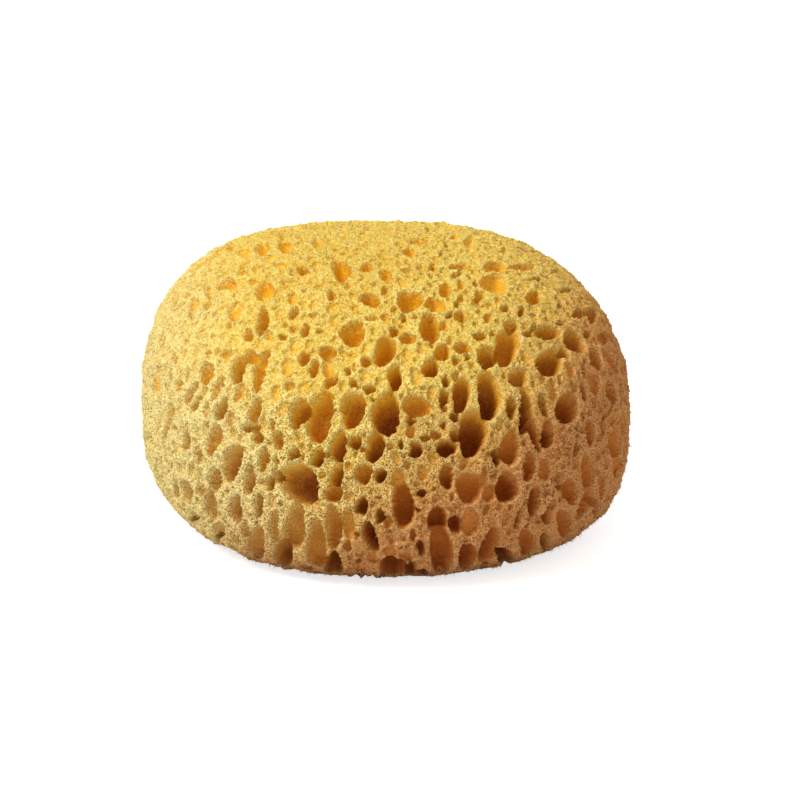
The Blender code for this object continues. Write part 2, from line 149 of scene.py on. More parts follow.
# %% The pits by kind: middle x and y, width, height, and how many degrees the top leans right
SHALLOW_PITS = (
    (281,235,6,8,-20), (343,237,10,4,15), (429,229,7,5,0), (228,247,8,5,0),
    (243,252,14,8,0), (318,242,10,10,0), (386,258,12,6,0), (441,253,4,5,0),
    (446,245,6,4,0), (470,243,12,10,0), (503,251,6,4,0), (242,272,10,6,0),
    (280,265,13,7,15), (294,273,8,6,0), (408,271,14,5,0), (431,275,5,5,0),
    (536,279,12,4,0), (556,271,11,4,-30), (187,295,7,6,0), (208,292,6,12,0),
    (253,281,11,5,0), (284,281,5,7,30), (292,298,8,12,15), (461,298,8,8,0),
    (462,284,7,8,0), (476,283,6,6,0), (566,290,10,4,0), (174,304,5,8,30),
    (190,314,4,10,0), (193,304,9,12,30), (207,305,8,10,20), (235,310,12,18,35),
    (313,315,8,6,0), (372,318,12,6,10), (385,317,8,8,0), (394,309,7,6,0),
    (415,317,5,4,0), (476,302,9,7,0), (488,318,8,10,-35), (559,306,5,6,0),
    (228,325,6,8,30), (268,335,8,8,0), (284,325,6,5,35), (293,329,7,7,0),
    (320,331,9,4,0), (444,326,8,8,0), (493,334,6,5,0), (534,327,6,6,0),
    (561,323,10,4,0), (588,334,7,8,0), (604,337,12,12,-30), (174,357,5,12,-15),
    (208,353,5,8,0), (225,354,10,8,0), (432,344,6,8,0), (468,357,7,6,0),
    (156,378,7,30,8), (170,372,4,14,0), (187,374,4,14,15), (328,368,11,16,0),
    (456,360,8,8,0), (456,376,7,10,0), (611,360,8,26,-35), (178,385,6,10,10),
    (215,391,7,18,20), (239,392,8,18,25), (289,386,9,9,0), (594,383,10,22,-20),
    (170,412,6,18,5), (230,418,8,14,10), (444,408,7,6,0), (606,415,4,8,0),
    (166,430,6,24,12), (174,427,4,6,0), (187,426,3,8,0), (206,425,4,6,0),
    (272,425,6,10,0), (411,430,9,14,0), (425,438,10,6,0), (436,435,9,8,0),
    (444,425,5,8,0), (604,428,6,18,0), (614,422,8,10,0), (624,424,6,34,-5),
    (276,461,4,10,0), (398,479,12,18,15), (484,478,6,20,0), (545,471,10,22,0),
    (618,466,10,26,0), (175,490,5,20,0), (199,491,7,12,0), (490,494,12,16,0),
    (603,487,8,25,0), (418,511,5,6,0), (553,505,8,10,0), (219,531,12,14,0),
    (245,531,8,14,0), (274,528,10,28,0), (348,525,12,28,0), (356,536,5,9,0),
    (388,522,7,13,0), (413,536,5,12,0), (471,523,15,28,0), (347,547,9,9,0),
    (358,562,6,6,0),
)
MIDDLE_PITS = (
    (456,236,9,6,-30), (262,248,14,12,0), (284,245,12,14,0), (409,251,13,9,0),
    (420,240,24,6,-10), (367,267,12,9,0), (386,274,11,13,0), (433,267,8,7,0),
    (457,274,11,5,-30), (461,266,20,7,-5), (497,266,26,9,0), (523,267,22,7,0),
    (226,284,17,11,-20), (264,290,14,20,45), (331,295,8,9,0), (385,290,7,9,0),
    (446,289,14,12,0), (480,295,10,8,0), (495,283,22,20,0), (535,297,17,11,0),
    (294,313,8,12,30), (403,318,6,8,15), (436,304,20,13,25), (450,315,5,9,35),
    (457,304,6,6,0), (461,316,11,12,0), (506,308,9,7,0), (522,311,6,13,25),
    (564,306,4,24,-35), (579,313,12,10,-35), (592,315,10,14,-35), (248,335,10,11,0),
    (283,337,10,6,35), (305,330,7,13,15), (357,323,14,5,0), (394,331,8,10,0),
    (408,338,14,11,0), (480,336,12,8,0), (512,325,13,9,0), (530,334,11,6,0),
    (250,356,14,12,25), (327,352,16,12,25), (443,352,13,16,0), (463,347,15,11,10),
    (566,353,6,14,-35), (596,358,9,24,-20), (206,373,12,22,12), (260,369,12,38,18),
    (314,368,8,18,15), (348,371,6,7,0), (366,361,10,9,0), (519,377,18,16,0),
    (584,370,6,14,-20), (190,393,7,22,28), (221,381,5,13,10), (330,382,13,9,-20),
    (370,389,11,8,0), (372,399,4,4,0), (444,397,9,16,0), (446,381,6,12,0),
    (584,391,6,16,-15), (612,392,10,22,-20), (195,404,6,18,28), (255,410,11,22,20),
    (335,410,5,3,0), (416,406,24,20,0), (455,416,7,12,0), (512,407,10,20,0),
    (544,405,8,22,-20), (257,438,11,10,0), (411,420,8,10,0), (456,435,9,12,0),
    (577,432,3,16,0), (591,432,9,26,0), (185,442,9,17,0), (197,455,7,16,0),
    (213,440,13,28,20), (278,440,9,18,-15), (293,454,10,11,0), (326,455,5,5,0),
    (511,448,18,31,0), (577,449,5,14,10), (617,443,12,32,-5), (263,460,9,24,5),
    (276,476,6,16,0), (363,474,15,20,0), (447,477,12,24,0), (530,466,13,25,0),
    (589,473,12,34,0), (186,491,10,22,-10), (214,480,12,22,0), (249,480,11,26,8),
    (269,484,7,15,0), (333,494,16,17,0), (422,494,8,8,30), (470,488,22,30,0),
    (571,492,14,24,0), (193,519,10,6,0), (210,506,13,26,-8), (235,510,11,28,0),
    (258,505,8,23,0), (380,517,8,14,0), (548,516,8,16,0), (596,508,7,18,0),
    (216,538,9,6,0), (294,530,20,40,0), (333,529,14,42,0), (566,526,13,28,0),
    (255,547,17,28,-12), (316,551,20,38,0), (528,546,14,26,10), (356,576,8,6,0),
    (369,577,10,5,0), (411,572,12,12,0),
)
DEEP_PITS = (
    (303,270,12,8,20), (341,269,18,18,0), (370,299,17,13,20), (410,300,22,20,0),
    (262,320,11,24,10), (352,334,24,18,0), (430,327,19,24,-10), (548,332,20,14,0),
    (304,358,10,14,20), (385,350,20,26,20), (489,356,22,18,0), (508,345,22,32,20),
    (575,340,14,26,-35), (238,368,14,24,20), (336,376,3,4,0), (431,367,15,17,10),
    (551,362,24,24,0), (462,393,16,32,12), (221,409,10,20,22), (298,413,14,30,18),
    (319,416,24,44,12), (353,410,18,34,10), (568,408,21,28,0), (246,428,6,10,10),
    (254,427,9,12,0), (302,458,4,5,0), (317,458,12,17,20), (338,447,13,30,8),
    (355,442,11,14,0), (362,449,4,5,0), (375,447,16,28,8), (231,463,16,36,10),
    (336,477,12,20,12), (508,488,19,30,0), (559,482,5,17,0), (361,507,11,18,15),
    (403,506,20,42,0), (519,519,5,18,12), (535,502,12,26,10), (586,506,9,34,25),
    (438,521,17,26,10), (456,525,11,18,0), (282,557,16,26,-12), (417,545,4,8,0),
    (421,549,6,14,0), (442,555,22,42,0), (490,549,16,32,22), (545,543,8,15,0),
    (423,574,10,7,0), (468,560,16,24,10),
)
DEEPEST_PITS = (
    (395,377,11,24,0), (353,383,7,9,0), (359,387,4,4,0), (391,391,4,8,0),
    (490,394,21,42,0), (344,402,6,16,12), (386,414,26,34,10), (527,410,13,42,0),
    (474,433,26,40,15), (536,433,10,30,-10), (549,434,11,28,5), (401,445,4,10,0),
    (416,450,13,14,0), (447,448,18,16,0), (497,458,8,15,0), (380,476,11,13,0),
    (299,484,30,40,-20), (370,538,13,27,-20), (506,559,16,14,0), (333,567,16,20,0),
    (393,570,28,15,0),
)

print(len(SHALLOW_PITS + MIDDLE_PITS + DEEP_PITS + DEEPEST_PITS), "pits read from the view")

# %% Depths of the four kinds in metres, and the least mouths in square pixels that the solid has too
SHALLOW_DEPTH = 0.0018
MIDDLE_DEPTH = 0.0040
DEEP_DEPTH = 0.0070
DEEPEST_DEPTH = 0.0100
DEEPEST_TO_WIDTH = 1.35  # no pit is deeper than this times its width
LEAST_AREA = 78
LEAST_SHALLOW_AREA = 150


# %% Lay the pits of the view on the skin
def seen_on_skin(pixels):
    """The direction from the heart to the first skin point behind each pixel, and whether there is one."""
    across = (pixels[:, 0] - VIEW_MIDDLE[0]) * PIXEL / VIEW_DISTANCE
    down = (pixels[:, 1] - VIEW_MIDDLE[1]) * PIXEL / VIEW_DISTANCE
    rays = across[:, None] * VIEW_RIGHT - down[:, None] * VIEW_UP - VIEW_BACK
    along = np.linspace(VIEW_DISTANCE - NEARER, VIEW_DISTANCE + FARTHER, SIGHT_STEPS)
    points = EYE + along[None, :, None] * rays[:, None, :] - HEART
    length = np.linalg.norm(points, axis=-1)
    inside = length < skin_radius(points / length[..., None])
    first = np.argmax(inside, axis=1)
    hit = points[np.arange(len(pixels)), first]
    return hit / np.linalg.norm(hit, axis=1, keepdims=True), inside.any(axis=1)


def laid(rows, depth, least_facing):
    """Middle, half-length vector, half-width vector and depth of each row. A line of the picture is laid on
    the skin by sliding it along the line of sight into the skin's own plane. The plane is taken to face the
    eye by at least least_facing, so that no pit grows too long near the outline."""
    unit, seen = seen_on_skin(rows[:, :2])
    rows, unit = rows[seen], unit[seen]
    middle = skin_point(unit)
    normal = skin_normal(unit)
    to_eye = EYE - middle
    to_eye = to_eye / np.linalg.norm(to_eye, axis=1, keepdims=True)
    facing = np.maximum((normal * to_eye).sum(axis=1, keepdims=True), least_facing)
    lean = np.radians(rows[:, 4:5])
    halves = []
    for size, way in (
        (rows[:, 3:4], np.sin(lean) * VIEW_RIGHT + np.cos(lean) * VIEW_UP),
        (rows[:, 2:3], np.cos(lean) * VIEW_RIGHT - np.sin(lean) * VIEW_UP),
    ):
        flat = way * size / 2 * PIXEL
        slide = (flat * normal).sum(axis=1, keepdims=True) / facing
        halves.append(flat - slide * to_eye)
    width = 2 * np.sqrt(np.linalg.norm(halves[0], axis=1) * np.linalg.norm(halves[1], axis=1))
    depths = np.minimum(depth, DEEPEST_TO_WIDTH * width)
    return np.concatenate([middle, *halves, depths[:, None]], axis=1)


def front_pits(large, least_facing=0.4):
    """The pits of the view: the large ones, which the solid has too, or the small ones that it leaves out."""
    found = []
    for rows, depth, least in (
        (SHALLOW_PITS, SHALLOW_DEPTH, LEAST_SHALLOW_AREA),
        (MIDDLE_PITS, MIDDLE_DEPTH, LEAST_AREA),
        (DEEP_PITS, DEEP_DEPTH, LEAST_AREA),
        (DEEPEST_PITS, DEEPEST_DEPTH, LEAST_AREA),
    ):
        chosen = [row for row in rows if (row[2] * row[3] >= least) == large]
        if chosen:
            found.append(laid(np.array(chosen, float), depth, least_facing))
    return np.concatenate(found)


seen_large = front_pits(True)
seen_small = front_pits(False)
print(len(seen_large), "large pits and", len(seen_small), "small ones laid on the front")

# %% [markdown]
# ## The pits nobody saw
#
# The back, the sides and the lower skin carry pits of the same kinds and sizes, dropped one by one from a
# seeded draw and kept only where they leave a wall of skin to their neighbours. The unseen skin then gets
# more tall pits of a middle size, and shallow cells and small pits fill in between, all round the body. The
# cut underside has round pores of its own. An even spread would be simpler, but a grown skin crowds them at
# random.

# %% Draw the large pits of the back, exactly as the solid has them
SEED = 41
BACK_TRIES = 6000
BACK_PITS = 150
BACK_WALL = 0.0016
BACK_FACING = 0.22  # the skin that faces the eye by more than this has the pits of the view
BACK_STRETCH = 1.3
BACK_HALF_WIDTHS = (0.0014, 0.0028)  # the least, and the most that is added
KIND_DEPTHS = (SHALLOW_DEPTH, MIDDLE_DEPTH, DEEP_DEPTH, DEEPEST_DEPTH)
KIND_SHARES = (0.12, 0.38, 0.3, 0.2)


def reaches(long_half, wide_half, way):
    """How far an ellipse with these half-axes reaches towards way."""
    way = way / max(np.linalg.norm(way), 1e-9)
    return np.hypot(long_half @ way, wide_half @ way)


def back_pits(taken):
    """Pits drawn for the unseen skin, longer than wide on the sides and rounder near the crown."""
    draw = np.random.default_rng(SEED)
    rows = list(taken)
    made = []
    for _ in range(BACK_TRIES):
        azimuth = draw.uniform(-pi, pi)
        elevation = np.arcsin(draw.uniform(-0.5, 1.0))
        stretch = 1.0 + BACK_STRETCH * cos(elevation) ** 2 * draw.uniform(0.3, 1.0)
        half_width = BACK_HALF_WIDTHS[0] + BACK_HALF_WIDTHS[1] * draw.random() ** 1.6
        depth = draw.choice(KIND_DEPTHS, p=KIND_SHARES)
        unit = directions(azimuth, elevation)
        middle, normal = skin_point(unit), skin_normal(unit)
        if (EYE - middle) @ normal > BACK_FACING * np.linalg.norm(EYE - middle):
            continue
        rise = np.array([0.0, 0.0, 1.0]) - normal[2] * normal
        rise = rise / np.linalg.norm(rise)
        side = np.cross(rise, normal)
        turn = draw.normal(0.0, 0.2) if elevation < 1.0 else draw.uniform(-1.5, 1.5)
        long_half = half_width * stretch * (cos(turn) * rise + sin(turn) * side)
        wide_half = half_width * (cos(turn) * side - sin(turn) * rise)
        if any(np.linalg.norm(middle - row[:3]) < reaches(row[3:6], row[6:9], middle - row[:3])
               + reaches(long_half, wide_half, row[:3] - middle) + BACK_WALL for row in rows):
            continue
        depth = min(depth, DEEPEST_TO_WIDTH * 2 * half_width * stretch**0.5)
        row = np.array([*middle, *long_half, *wide_half, depth])
        rows.append(row)
        made.append(row)
        if len(made) == BACK_PITS:
            break
    return np.array(made)


behind = back_pits(seen_large)
print(len(behind), "large pits drawn for the back")

# %% Fill in between the large ones
# A round: tries, least and largest half-width, skin left round each, depth over half-width and most stretch.
UNSEEN_ROUNDS = ((5000, 0.0012, 0.0024, 0.0006, 2.2, 2.4),)
UNSEEN_FACING = 0.1
FILL_ROUNDS = (
    (7000, 0.0010, 0.0018, 0.0005, 1.0, 2.3),
    (15000, 0.0005, 0.0010, 0.0004, 1.7, 1.8),
)
NEIGHBOURHOOD = 0.016  # only pits nearer than this are looked at as neighbours


def reach_towards(rows, way):
    """How far the ellipse of each row reaches along its own way: the root of the two half-axes' squared
    shares."""
    return np.hypot((rows[:, 3:6] * way).sum(axis=1), (rows[:, 6:9] * way).sum(axis=1))


def fill_in_pits(taken, rounds, seed, most_facing=1.0):
    """Pits dropped one by one wherever they leave skin to their neighbours, taller than wide on the sides.
    They are kept to the skin that faces the eye by less than most_facing, the cosine of the angle to the
    eye."""
    draw = np.random.default_rng(seed)
    rows = np.array(taken)
    for tries, least, most, wall, depth, most_stretch in rounds:
        unit = directions(draw.uniform(-pi, pi, tries), np.arcsin(draw.uniform(-0.6, 1.0, tries)))
        middle, normal = skin_point(unit), skin_normal(unit)
        half = least + (most - least) * draw.random((tries, 1)) ** 1.5
        stretch = 1 + (most_stretch - 1) * draw.random((tries, 1)) * np.hypot(unit[:, :1], unit[:, 1:2])
        rise = np.array([0.0, 0.0, 1.0]) - normal[:, 2:] * normal
        rise = rise / np.linalg.norm(rise, axis=1, keepdims=True)
        side = np.cross(rise, normal)
        turn = draw.normal(0, 0.25, (tries, 1))
        long_half = half * stretch * (np.cos(turn) * rise + np.sin(turn) * side)
        wide_half = half * (np.cos(turn) * side - np.sin(turn) * rise)
        new = np.concatenate([middle, long_half, wide_half, depth * half], axis=1)
        new = new[((EYE - middle) * normal).sum(axis=1) < most_facing * np.linalg.norm(EYE - middle, axis=1)]
        for row in new:
            apart = rows[:, :3] - row[:3]
            close = np.abs(apart).max(axis=1) < NEIGHBOURHOOD
            apart = apart[close]
            length = np.linalg.norm(apart, axis=1)
            way = apart / length[:, None]
            own = np.hypot(way @ row[3:6], way @ row[6:9])
            if (length - reach_towards(rows[close], way) - own).min() > wall:
                rows = np.concatenate([rows, row[None]])
    return rows[len(taken):]


taken = np.concatenate([seen_large, seen_small, behind])
unseen = fill_in_pits(taken, UNSEEN_ROUNDS, SEED + 4, UNSEEN_FACING)
small = fill_in_pits(np.concatenate([taken, unseen]), FILL_ROUNDS, SEED + 1)
print(len(unseen), "more pits drawn for the unseen skin, and", len(small), "small ones all round")

# %% Draw the pores of the cut underside
UNDERSIDE_PORES = 210
UNDERSIDE_WALL = 0.0009
UNDERSIDE_TRIES = 9000
UNDERSIDE_HALF = (0.047, 0.043)  # half-widths of the oval that the pores lie in
PORE_HALF_WIDTHS = (0.0008, 0.0027)  # the least, and the most that is added


def underside_pores():
    """Round pores on the flat base, 1.6 to 7 mm across, none closer to another than UNDERSIDE_WALL."""
    draw = np.random.default_rng(SEED + 2)
    made = []
    for _ in range(UNDERSIDE_TRIES):
        azimuth, share = draw.uniform(-pi, pi), draw.random() ** 0.5
        half = PORE_HALF_WIDTHS[0] + PORE_HALF_WIDTHS[1] * draw.random() ** 2.2
        x, y = UNDERSIDE_HALF[0] * share * cos(azimuth), UNDERSIDE_HALF[1] * share * sin(azimuth)
        if any(np.hypot(x - row[0], y - row[1]) < row[10] + half + UNDERSIDE_WALL for row in made):
            continue
        turn, stretch = draw.uniform(0, pi), draw.uniform(0.7, 1.0)
        long_half = [half * cos(turn), half * sin(turn), 0.0]
        wide_half = [half * stretch * sin(turn), -half * stretch * cos(turn), 0.0]
        made.append([x, y, 0.0, *long_half, *wide_half, half * draw.uniform(0.9, 2.0), half])
        if len(made) == UNDERSIDE_PORES:
            break
    return np.array(made)[:, :10]


under = underside_pores()
print(len(under), "pores on the underside")

# %% Gather all the pits, each a row of its middle, half-length and half-width vectors and depth
SEEN_DEEPER = 0.0008  # the seen pits are a little deeper than in the solid, whose coarse walls are softer
TRUE_FACING = 0.28  # and near the outline they are laid closer to their true width
CROWN_LEVELS = (0.058, 0.078)  # from the lower to the upper of these heights the pits grow shallower
CROWN_DEPTH = 0.82
seen = np.concatenate([front_pits(True, TRUE_FACING), front_pits(False, TRUE_FACING)])
seen[:, 9] += SEEN_DEEPER
PITS = np.concatenate([seen, behind, unseen, small, under])
PITS[:, 9] *= np.interp(PITS[:, 2], CROWN_LEVELS, (1.0, CROWN_DEPTH))
print(len(PITS), "pits in all")

# %% [markdown]
# ## The pitted skin
#
# A pit is a steep-walled hollow with a soft lip. Pushing a grid straight in would leave ragged mouths,
# because the grid doesn't follow them. So the points near a mouth are also slid along the skin: a wide ring
# of them is gathered into the narrow band of the wall. Between two close pits the slide fades out, so their
# wall stays whole. Real channels run on into the body at a slant, so each pit also leans downhill as it
# goes in. Fine waves fray the mouths and crumble the skin between them.

# %% How far a pit slides and sinks the points round it
RING_BEFORE = (0.0, 0.40, 0.70, 0.88, 1.00, 1.15, 1.45)  # share of the mouth before the slide
RING_AFTER = (0.0, 0.58, 0.87, 0.955, 1.0, 1.10, 1.45)  # and after it
SINK = (1.0, 0.94, 0.74, 0.45, 0.12, 0.0, 0.0)  # share of the pit's depth at each
REACH = 1.45
LIP_RISE = 0.00022  # the lip stands proud of the skin by this
# A point's shade is painted shade: its colour darkens with depth, more on a pit's low side and in crevices
SHADE_DEPTH = 0.0035  # the depth at which a pit's colour has gone two thirds of its way
LOWER_SHADE = 0.60  # the low side of a pit is coloured as if it were deeper by this share, its top less deep
MOST_LOWER = 0.0030  # a share of its depth, but of no more than this
CREVICE_SHADE = 1.3  # and the crevices between the crumbs as if they were deeper by this
BETWEEN = 0.35  # the slide is full where the next pit's ratio is larger by this
BLOCK = 24  # the skin is worked out in squares of this many grid points
EDGE_POWER = 40  # how crisply the skin turns into the flat base
BASE_BAND = 0.0015  # the height over which the crumb of the skin gives way to that of the base
MOUTH_SWELL = 1.07  # the mouths are opened by this, to make up for their soft lips
MOUTH_WAVES = (0.08, 0.06)  # heights of the two and of the three slow waves round a mouth
FRAY = 0.00024
FRAY_WAVE = 0.0019
BROAD_CRUMB = (0.00034, 0.0085)  # height and wavelength of the swellings that go on down into the pits
CRUMBS = ((0.00017, 0.0036), (0.00015, 0.0018))  # and of the crumbs that the skin alone has
CREASE = (0.00022, 0.0014)  # and of the creases between them
CALM_DEPTH = 0.0012  # the depth at which the crumbs have faded to half
CREVICE_LEVEL = 0.0002  # skin below this height counts as a crevice
DEEPEST_CREVICE = 0.0008
WAVES = 16
DOWNHILL = np.array([0.35, -0.25, -1.0])  # the way in which the pits lean as they go in
LEAN = 0.55  # how far they lean for each metre of depth
STRAIGHT = 0.0014  # but near the mouth, down to about this depth, they go straight in
LEAN_FROM = (0.001, 0.026)  # from the lower to the upper of these heights the lean grows from none to full


def mouth_axes(pits):
    """Two vectors for each pit: the products of an offset with them are its place in the mouth, 1 on the
    lip."""
    long_half, wide_half = MOUTH_SWELL * pits[:, 3:6], MOUTH_SWELL * pits[:, 6:9]
    normal = np.cross(wide_half, long_half)
    to_long, to_wide = np.cross(wide_half, normal), np.cross(normal, long_half)
    return (to_long / (long_half * to_long).sum(axis=1, keepdims=True),
            to_wide / (wide_half * to_wide).sum(axis=1, keepdims=True))


TO_LONG, TO_WIDE = mouth_axes(PITS)
HALF_LENGTH, HALF_WIDTH = np.linalg.norm(PITS[:, 3:6], axis=1), np.linalg.norm(PITS[:, 6:9], axis=1)
HALF_SIZE = MOUTH_SWELL * np.maximum(HALF_LENGTH, HALF_WIDTH)
WOBBLE = np.random.default_rng(SEED + 3).uniform(0, 2 * pi, (len(PITS), 2))


def lumps(points, wave, seed=0):
    """Soft unevenness between about -1 and 1: the sum of WAVES sine waves in random directions, about wave
    metres long, over the root of their number."""
    draw = np.random.default_rng(int(1e5 * wave) + seed)
    ways = draw.normal(0, 1, (WAVES, 3))
    ways = ways / np.linalg.norm(ways, axis=1, keepdims=True)
    ways = ways * draw.uniform(0.8, 1.3, (WAVES, 1)) * 2 * pi / wave
    return np.sin(points @ ways.T + draw.uniform(0, 2 * pi, WAVES)).sum(axis=-1) / WAVES**0.5 * 0.8


def trimmed_radius(unit):
    """Distance from the heart to the skin, or to the table below it, whichever is nearer. The two are joined
    as (skin^-p + table^-p)^(-1/p), which rounds the edge between them."""
    table = WIDEST_LEVEL / np.maximum(-unit[..., 2], 0.05)
    return (skin_radius(unit) ** -EDGE_POWER + table ** -EDGE_POWER) ** (-1 / EDGE_POWER)


def hollows(places):
    """For a block of points: how far each slides, how deep it sinks, how near a lip it is, and how low in its
    mouth, from -1 at the top to 1 at the bottom. Its ratio to a pit is 0 in the middle and 1 on the lip: the
    root of along^2 + across^2, times 1 plus two slow waves round the mouth. The slide belongs to the pit with
    the smallest ratio, and the sink is the deepest that any pit asks for."""
    middle = places.mean(axis=0)
    span = np.linalg.norm(places - middle, axis=1).max()
    near = np.flatnonzero(np.linalg.norm(PITS[:, :3] - middle, axis=1) < span + 1.2 * REACH * HALF_SIZE)
    if not len(near):
        return np.zeros_like(places), *np.zeros((3, len(places)))
    offset = places[None] - PITS[near, None, :3]
    along = (offset * TO_LONG[near, None]).sum(axis=-1)
    across = (offset * TO_WIDE[near, None]).sum(axis=-1)
    angle = np.arctan2(along, across)
    waves = MOUTH_WAVES[0] * np.sin(2 * angle + WOBBLE[near, :1])
    waves = waves + MOUTH_WAVES[1] * np.sin(3 * angle + WOBBLE[near, 1:])
    far = np.linalg.norm(offset, axis=-1) > 2 * HALF_SIZE[near, None]
    ratio = np.hypot(along, across) * (1 + waves) + 9 * far
    sink = (PITS[near, 9, None] * np.interp(ratio, RING_BEFORE, SINK)).max(axis=0)
    owner = ratio.argmin(axis=0)
    least = ratio.min(axis=0)
    second = np.partition(ratio, 1, axis=0)[1] if len(near) > 1 else REACH
    full = np.clip((np.minimum(second, REACH) - least) / BETWEEN, 0, 1)
    share = (np.interp(least, RING_BEFORE, RING_AFTER) / np.maximum(least, 1e-6) - 1) * full
    own = offset[owner, np.arange(len(places))]
    downhill = DOWNHILL / np.linalg.norm(DOWNHILL)
    lower = np.clip(own @ downhill / HALF_SIZE[near][owner], -1, 1) * np.clip((1.1 - least) / 0.3, 0, 1)
    return own * share[:, None], sink, np.clip(1 - np.abs(least - 1.12) / 0.2, 0, 1), lower


def pitted(unit):
    """Points of the pitted skin for a grid of directions, with how deep each lies, how near a lip it is, and
    its shade, from 0 on the skin to 1 deep in: 1 - exp(-depth / SHADE_DEPTH). A point sunk by s is also
    carried LEAN s^2 / (s + STRAIGHT) along the part of DOWNHILL that is square to its own direction."""
    base = HEART + unit * trimmed_radius(unit)[..., None]
    ragged = base + FRAY * np.stack([lumps(base, FRAY_WAVE, seed) for seed in (1, 2, 3)], axis=-1)
    slide = np.zeros_like(base)
    sink, lip, lower = np.zeros((3, *base.shape[:2]))
    for i in range(0, base.shape[0], BLOCK):
        for j in range(0, base.shape[1], BLOCK):
            square = (slice(i, i + BLOCK), slice(j, j + BLOCK))
            places = ragged[square]
            found = hollows(places.reshape(-1, 3))
            slide[square] = found[0].reshape(places.shape)
            sink[square] = found[1].reshape(places.shape[:2])
            lip[square] = found[2].reshape(places.shape[:2])
            lower[square] = found[3].reshape(places.shape[:2])
    slid = base + slide - HEART
    slid = slid / np.linalg.norm(slid, axis=-1, keepdims=True)
    radius = trimmed_radius(slid)
    even = slid * radius[..., None]
    calm = 1 / (1 + (sink / CALM_DEPTH) ** 2)
    crumbs = sum(height * lumps(even, wave) for height, wave in CRUMBS)
    crumb = BROAD_CRUMB[0] * lumps(even, BROAD_CRUMB[1]) + calm * crumbs
    crumb = crumb - calm * CREASE[0] * np.abs(lumps(even, CREASE[1], 5))
    on_base = np.clip((-slid[..., 2] * radius - WIDEST_LEVEL + BASE_BAND) / BASE_BAND, 0, 1)
    crumb = np.where(on_base > 0, crumb * (1 - on_base) - np.abs(crumb) * on_base, crumb)
    rise = LIP_RISE * lip * calm * (1 - on_base)
    points = HEART + slid * (radius - sink + rise + crumb)[..., None]
    downhill = DOWNHILL - (slid @ DOWNHILL)[..., None] * slid
    lean = LEAN * sink**2 / (sink + STRAIGHT) * np.interp(even[..., 2] + WIDEST_LEVEL, LEAN_FROM, (0, 1))
    points = points + lean[..., None] * downhill
    # Painted shade: the colour darkens with a pit's depth, on its low side and in the crevices
    crevice = calm * np.clip(CREVICE_LEVEL - crumb, 0, DEEPEST_CREVICE) * (1 - on_base)
    shade = sink + LOWER_SHADE * lower * np.minimum(sink, MOST_LOWER) + CREVICE_SHADE * crevice
    shade = 1 - np.exp(-np.maximum(shade, 0) / SHADE_DEPTH)
    return points, sink, lip, shade


# %% [markdown]
# ## Six closed wedges
#
# One grid wrapped round the body would crowd at its poles. Six patches, one for each face of a cube, keep
# the cells nearly even, and two that meet share the points of their edge. Walls that run in to the heart
# close each.

# %% A grid of directions all round: one square patch for each side of a cube
SIDE_CELLS = (300, 325)
CROWN_CELLS = 300


def square_patch(cells, faces_up):
    """Directions of the crown or base patch: x and y over z are the tangents of equal angles, -45 to 45
    degrees."""
    angle = np.tan(np.linspace(-pi / 4, pi / 4, cells + 1))
    across, along = np.meshgrid(angle, angle, indexing="ij")
    if not faces_up:
        along = along[:, ::-1]
    unit = np.stack([across, along, np.full_like(across, 1.0 if faces_up else -1.0)], axis=-1)
    return unit / np.linalg.norm(unit, axis=-1, keepdims=True)


def side_patch(quarter):
    """Directions of one side, turned by quarters: x is 1, y and z the tangents of equal angles, -45 to 45."""
    around = np.tan(np.linspace(-pi / 4, pi / 4, SIDE_CELLS[0] + 1))
    upward = np.tan(np.linspace(-pi / 4, pi / 4, SIDE_CELLS[1] + 1))
    y, z = np.meshgrid(around, upward, indexing="ij")
    x = np.ones_like(y)
    for _ in range(quarter):
        x, y = -y, x
    unit = np.stack([x, y, z], axis=-1)
    return unit / np.linalg.norm(unit, axis=-1, keepdims=True)


PATCHES = {
    "right": side_patch(0),
    "back": side_patch(1),
    "left": side_patch(2),
    "front": side_patch(3),
    "crown": square_patch(CROWN_CELLS, True),
    "base": square_patch(CROWN_CELLS, False),
}
print({name: patch.shape[:2] for name, patch in PATCHES.items()})


# %% Make a wedge of the body from each patch: the skin in front, and walls that run in to the heart
def mesh_from(name, points, cells, flat_cells=None, **values):
    """A mesh of these points and cells, then any flat ones, with each named value stored on its points. The
    first cells are smooth only when flat ones are given too; given alone, they are flat."""
    mesh = bpy.data.meshes.new(name)
    groups = [cells] if flat_cells is None else [cells, flat_cells]
    corners = np.concatenate([group.ravel() for group in groups]).astype(np.int32)
    sizes = np.concatenate([np.full(len(group), group.shape[1]) for group in groups])
    mesh.vertices.add(len(points))
    mesh.vertices.foreach_set("co", points.astype(np.float32).ravel())
    mesh.loops.add(len(corners))
    mesh.loops.foreach_set("vertex_index", corners)
    mesh.polygons.add(len(sizes))
    mesh.polygons.foreach_set("loop_start", (np.cumsum(sizes) - sizes).astype(np.int32))
    smooth = np.arange(len(sizes)) < len(cells)
    mesh.polygons.foreach_set("use_smooth", smooth & (flat_cells is not None))
    for key, value in values.items():
        mesh.attributes.new(key, "FLOAT", "POINT").data.foreach_set("value", value.astype(np.float32))
    mesh.update(calc_edges=True)
    mesh.validate()
    return mesh


def border(shape):
    """Point numbers round the edge of a grid, anticlockwise when the first way runs right and the second
    up."""
    number = np.arange(shape[0] * shape[1]).reshape(shape)
    return np.concatenate([number[:-1, 0], number[-1, :-1], number[:0:-1, -1], number[0, :0:-1]])


